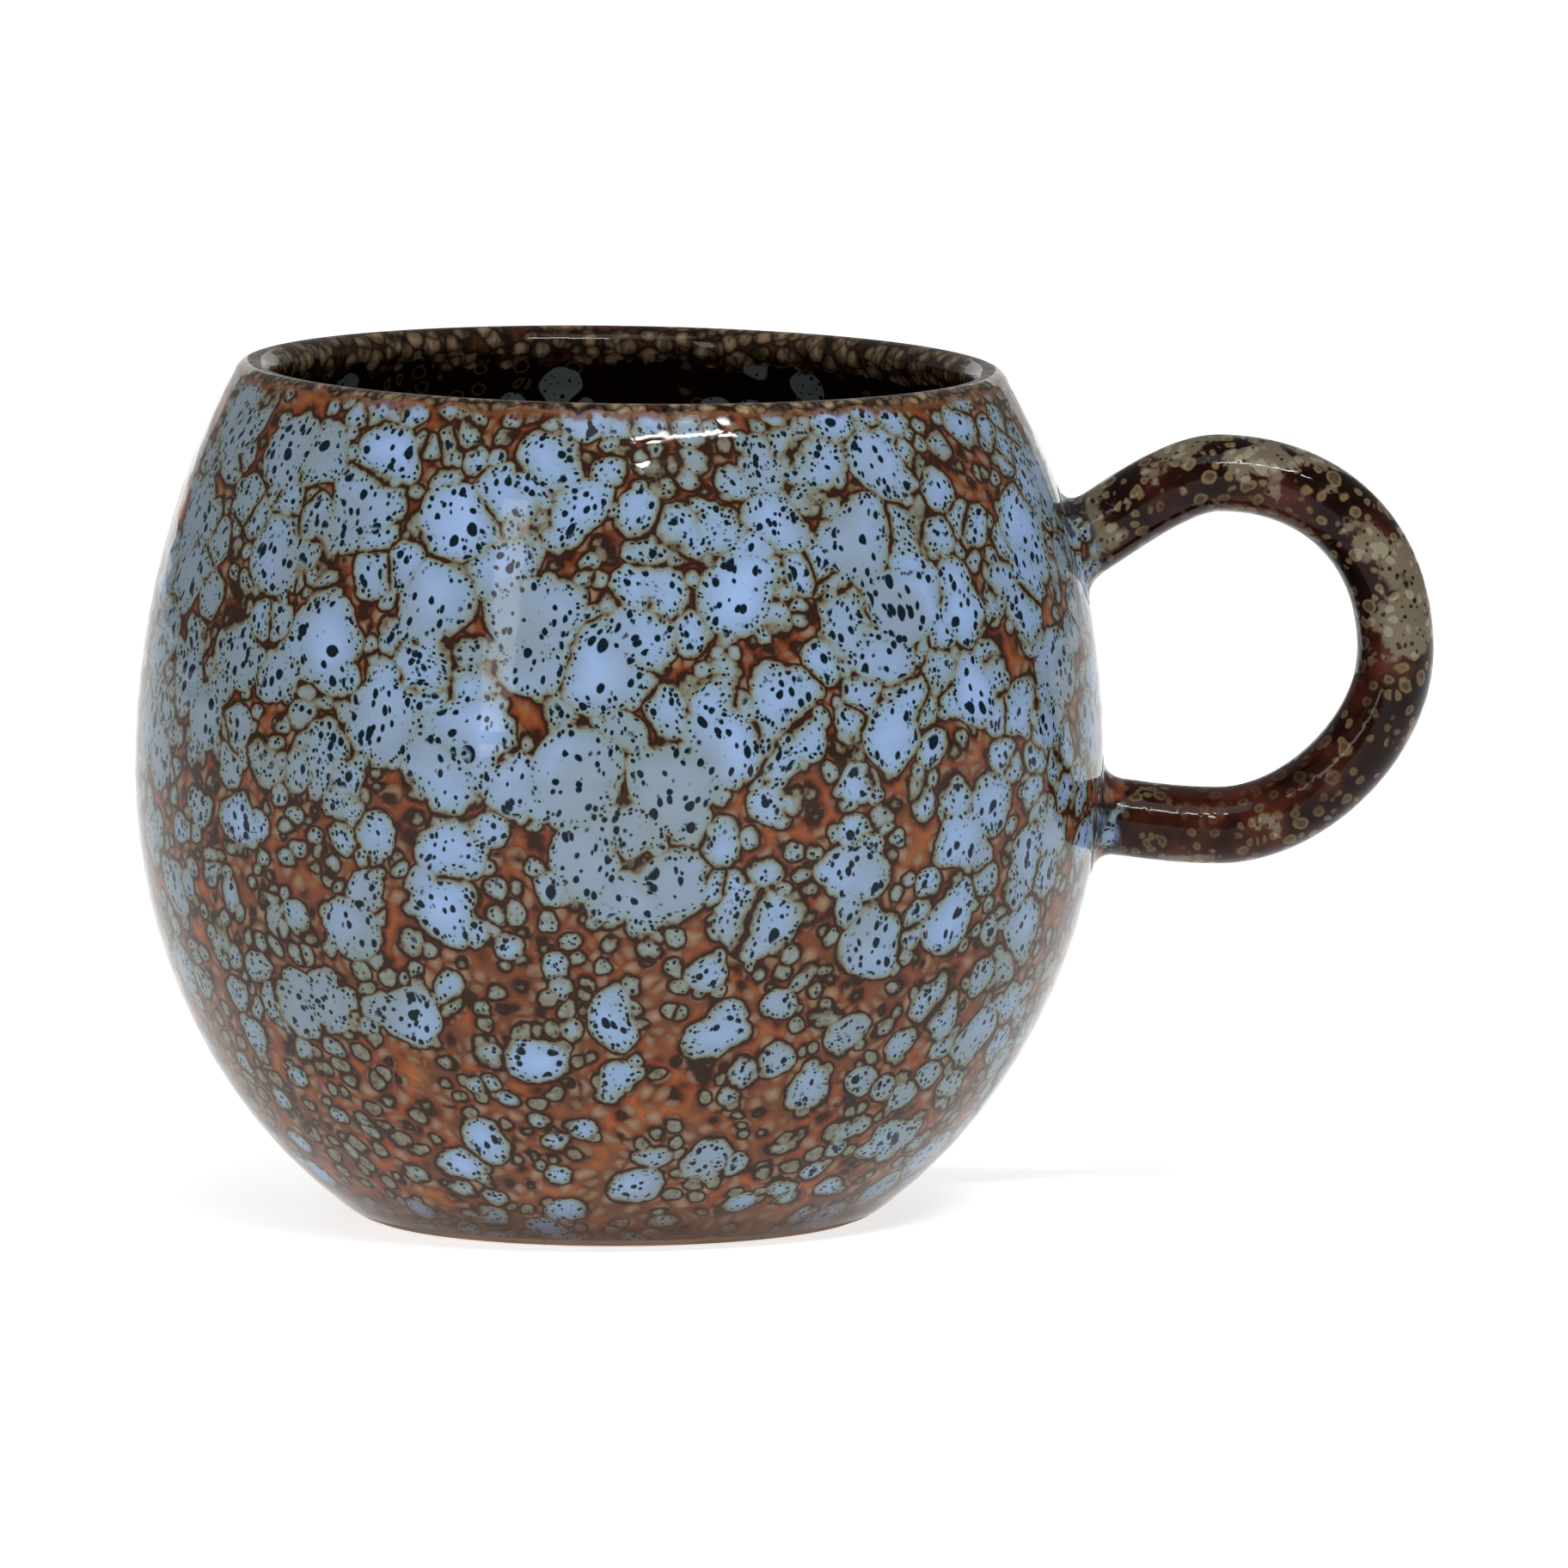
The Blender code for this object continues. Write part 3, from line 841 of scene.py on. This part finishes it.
def build_handle(rings):
    """Ring handle with the fillets at both joints, skinned over its rings."""
    bm = bmesh.new()
    made, near, outward = [], [], []
    hub = Vector((RING_X, 0, RING_Z))
    for ring in rings:
        centre = sum(ring, Vector()) / len(ring)
        away = (centre - hub).normalized()
        verts = []
        for spot in ring:
            verts.append(bm.verts.new(spot))
            near.append(1 - smooth(-depth_under_wall(spot) / WALL_FADE))
            outward.append((spot - centre).normalized().dot(away))
        made.append(verts)
    for low, high in zip(made, made[1:]):
        for i in range(SECTION):
            j = (i + 1) % SECTION
            bm.faces.new((low[i], low[j], high[j], high[i]))
    nodes = ["handle_glaze", "handle", "upper_handle_slip", "lower_handle_slip"]
    values = {"near_wall": near, "outward": outward}
    add_piece("ring_handle", bm, handle_material(), nodes, values)


# ---------------------------------------------------------------- stage, light and camera


def build_floor():
    """Plain pale paper, staged so that it is not part of the mug."""
    bm = bmesh.new()
    half = FLOOR_HALF
    corners = [(-half, -half), (half, -half), (half, half), (-half, half)]
    bm.faces.new([bm.verts.new((x, y, -FLOOR_DROP)) for x, y in corners])
    mesh = bpy.data.meshes.new("floor")
    bm.to_mesh(mesh)
    bm.free()
    paper = bpy.data.materials.new("floor_paper")
    paper.use_nodes = True
    shader = paper.node_tree.nodes["Principled BSDF"]
    shader.inputs["Base Color"].default_value = (0.93, 0.93, 0.93, 1)
    shader.inputs["Roughness"].default_value = 0.95
    shader.inputs["Specular IOR Level"].default_value = 0.0
    shader.inputs["Emission Color"].default_value = (1, 1, 1, 1)
    shader.inputs["Emission Strength"].default_value = 0.7
    mesh.materials.append(paper)
    floor = bpy.data.objects.new("floor", mesh)
    bpy.context.scene.collection.objects.link(floor)
    floor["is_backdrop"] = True


def aim(thing, target):
    """Turn a light or the camera to a point."""
    thing.rotation_euler = (Vector(target) - thing.location).to_track_quat("-Z", "Y").to_euler()


def soft_box(name, place, width, height, power, tint=(1, 1, 1)):
    """A rectangular area light turned to the mug."""
    light = bpy.data.lights.new(name, "AREA")
    light.shape = "RECTANGLE"
    light.size = width
    light.size_y = height
    light.energy = power
    light.color = tint
    lamp = bpy.data.objects.new(name, light)
    lamp.location = place
    bpy.context.scene.collection.objects.link(lamp)
    aim(lamp, LIGHTS_AIM)


def around(azimuth, elevation, distance):
    """A place round the vessel: azimuth 0 is in front, and it grows towards the handle."""
    turn, rise = math.radians(azimuth), math.radians(elevation)
    level = math.cos(rise) * distance
    height = math.sin(rise) * distance + LIGHTS_AIM[2]
    return (level * math.sin(turn), -level * math.cos(turn), height)


def build_light():
    """White surroundings, a window on the left, a thin strip above and soft fills."""
    world = bpy.data.worlds.new("studio")
    world.use_nodes = True
    bpy.context.scene.world = world
    background = world.node_tree.nodes["Background"]
    background.inputs["Color"].default_value = (1, 1, 1, 1)
    background.inputs["Strength"].default_value = 0.28
    soft_box("window_left", around(-29, 20, 1.3), 0.16, 0.8, 3.5, (1, 0.93, 0.92))
    soft_box("key_strip", around(23, 49, 1.2), 0.5, 0.035, 6.5)
    soft_box("fill_front", around(5, 62, 1.6), 1.0, 0.7, 6.0)
    soft_box("rim_left", around(-166, 4, 1.5), 0.5, 0.7, 0.7)
    soft_box("rim_right", around(166, 4, 1.5), 0.5, 0.7, 0.7)


def build_camera():
    """A long lens a little above the mug, square to the handle's plane."""
    low, high = (Vector(corner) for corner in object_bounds())
    centre = (low + high) / 2 + Vector((0, 0, CAMERA_RAISE))
    elevation = math.radians(CAMERA_ELEVATION)
    back = Vector((0, -math.cos(elevation), math.sin(elevation)))
    camera = bpy.data.cameras.new("camera")
    camera.lens = CAMERA_LENS
    camera.sensor_width = 36
    camera.clip_end = 50
    eye = bpy.data.objects.new("camera", camera)
    eye.location = centre + back * CAMERA_DISTANCE
    bpy.context.scene.collection.objects.link(eye)
    aim(eye, centre)
    bpy.context.scene.camera = eye


def main():
    rings = handle_rings()
    build_outside(rings)
    build_inside()
    build_foot()
    build_handle(rings)
    build_camera()
    build_floor()
    build_light()
    bpy.context.scene.view_settings.view_transform = "Standard"


main()
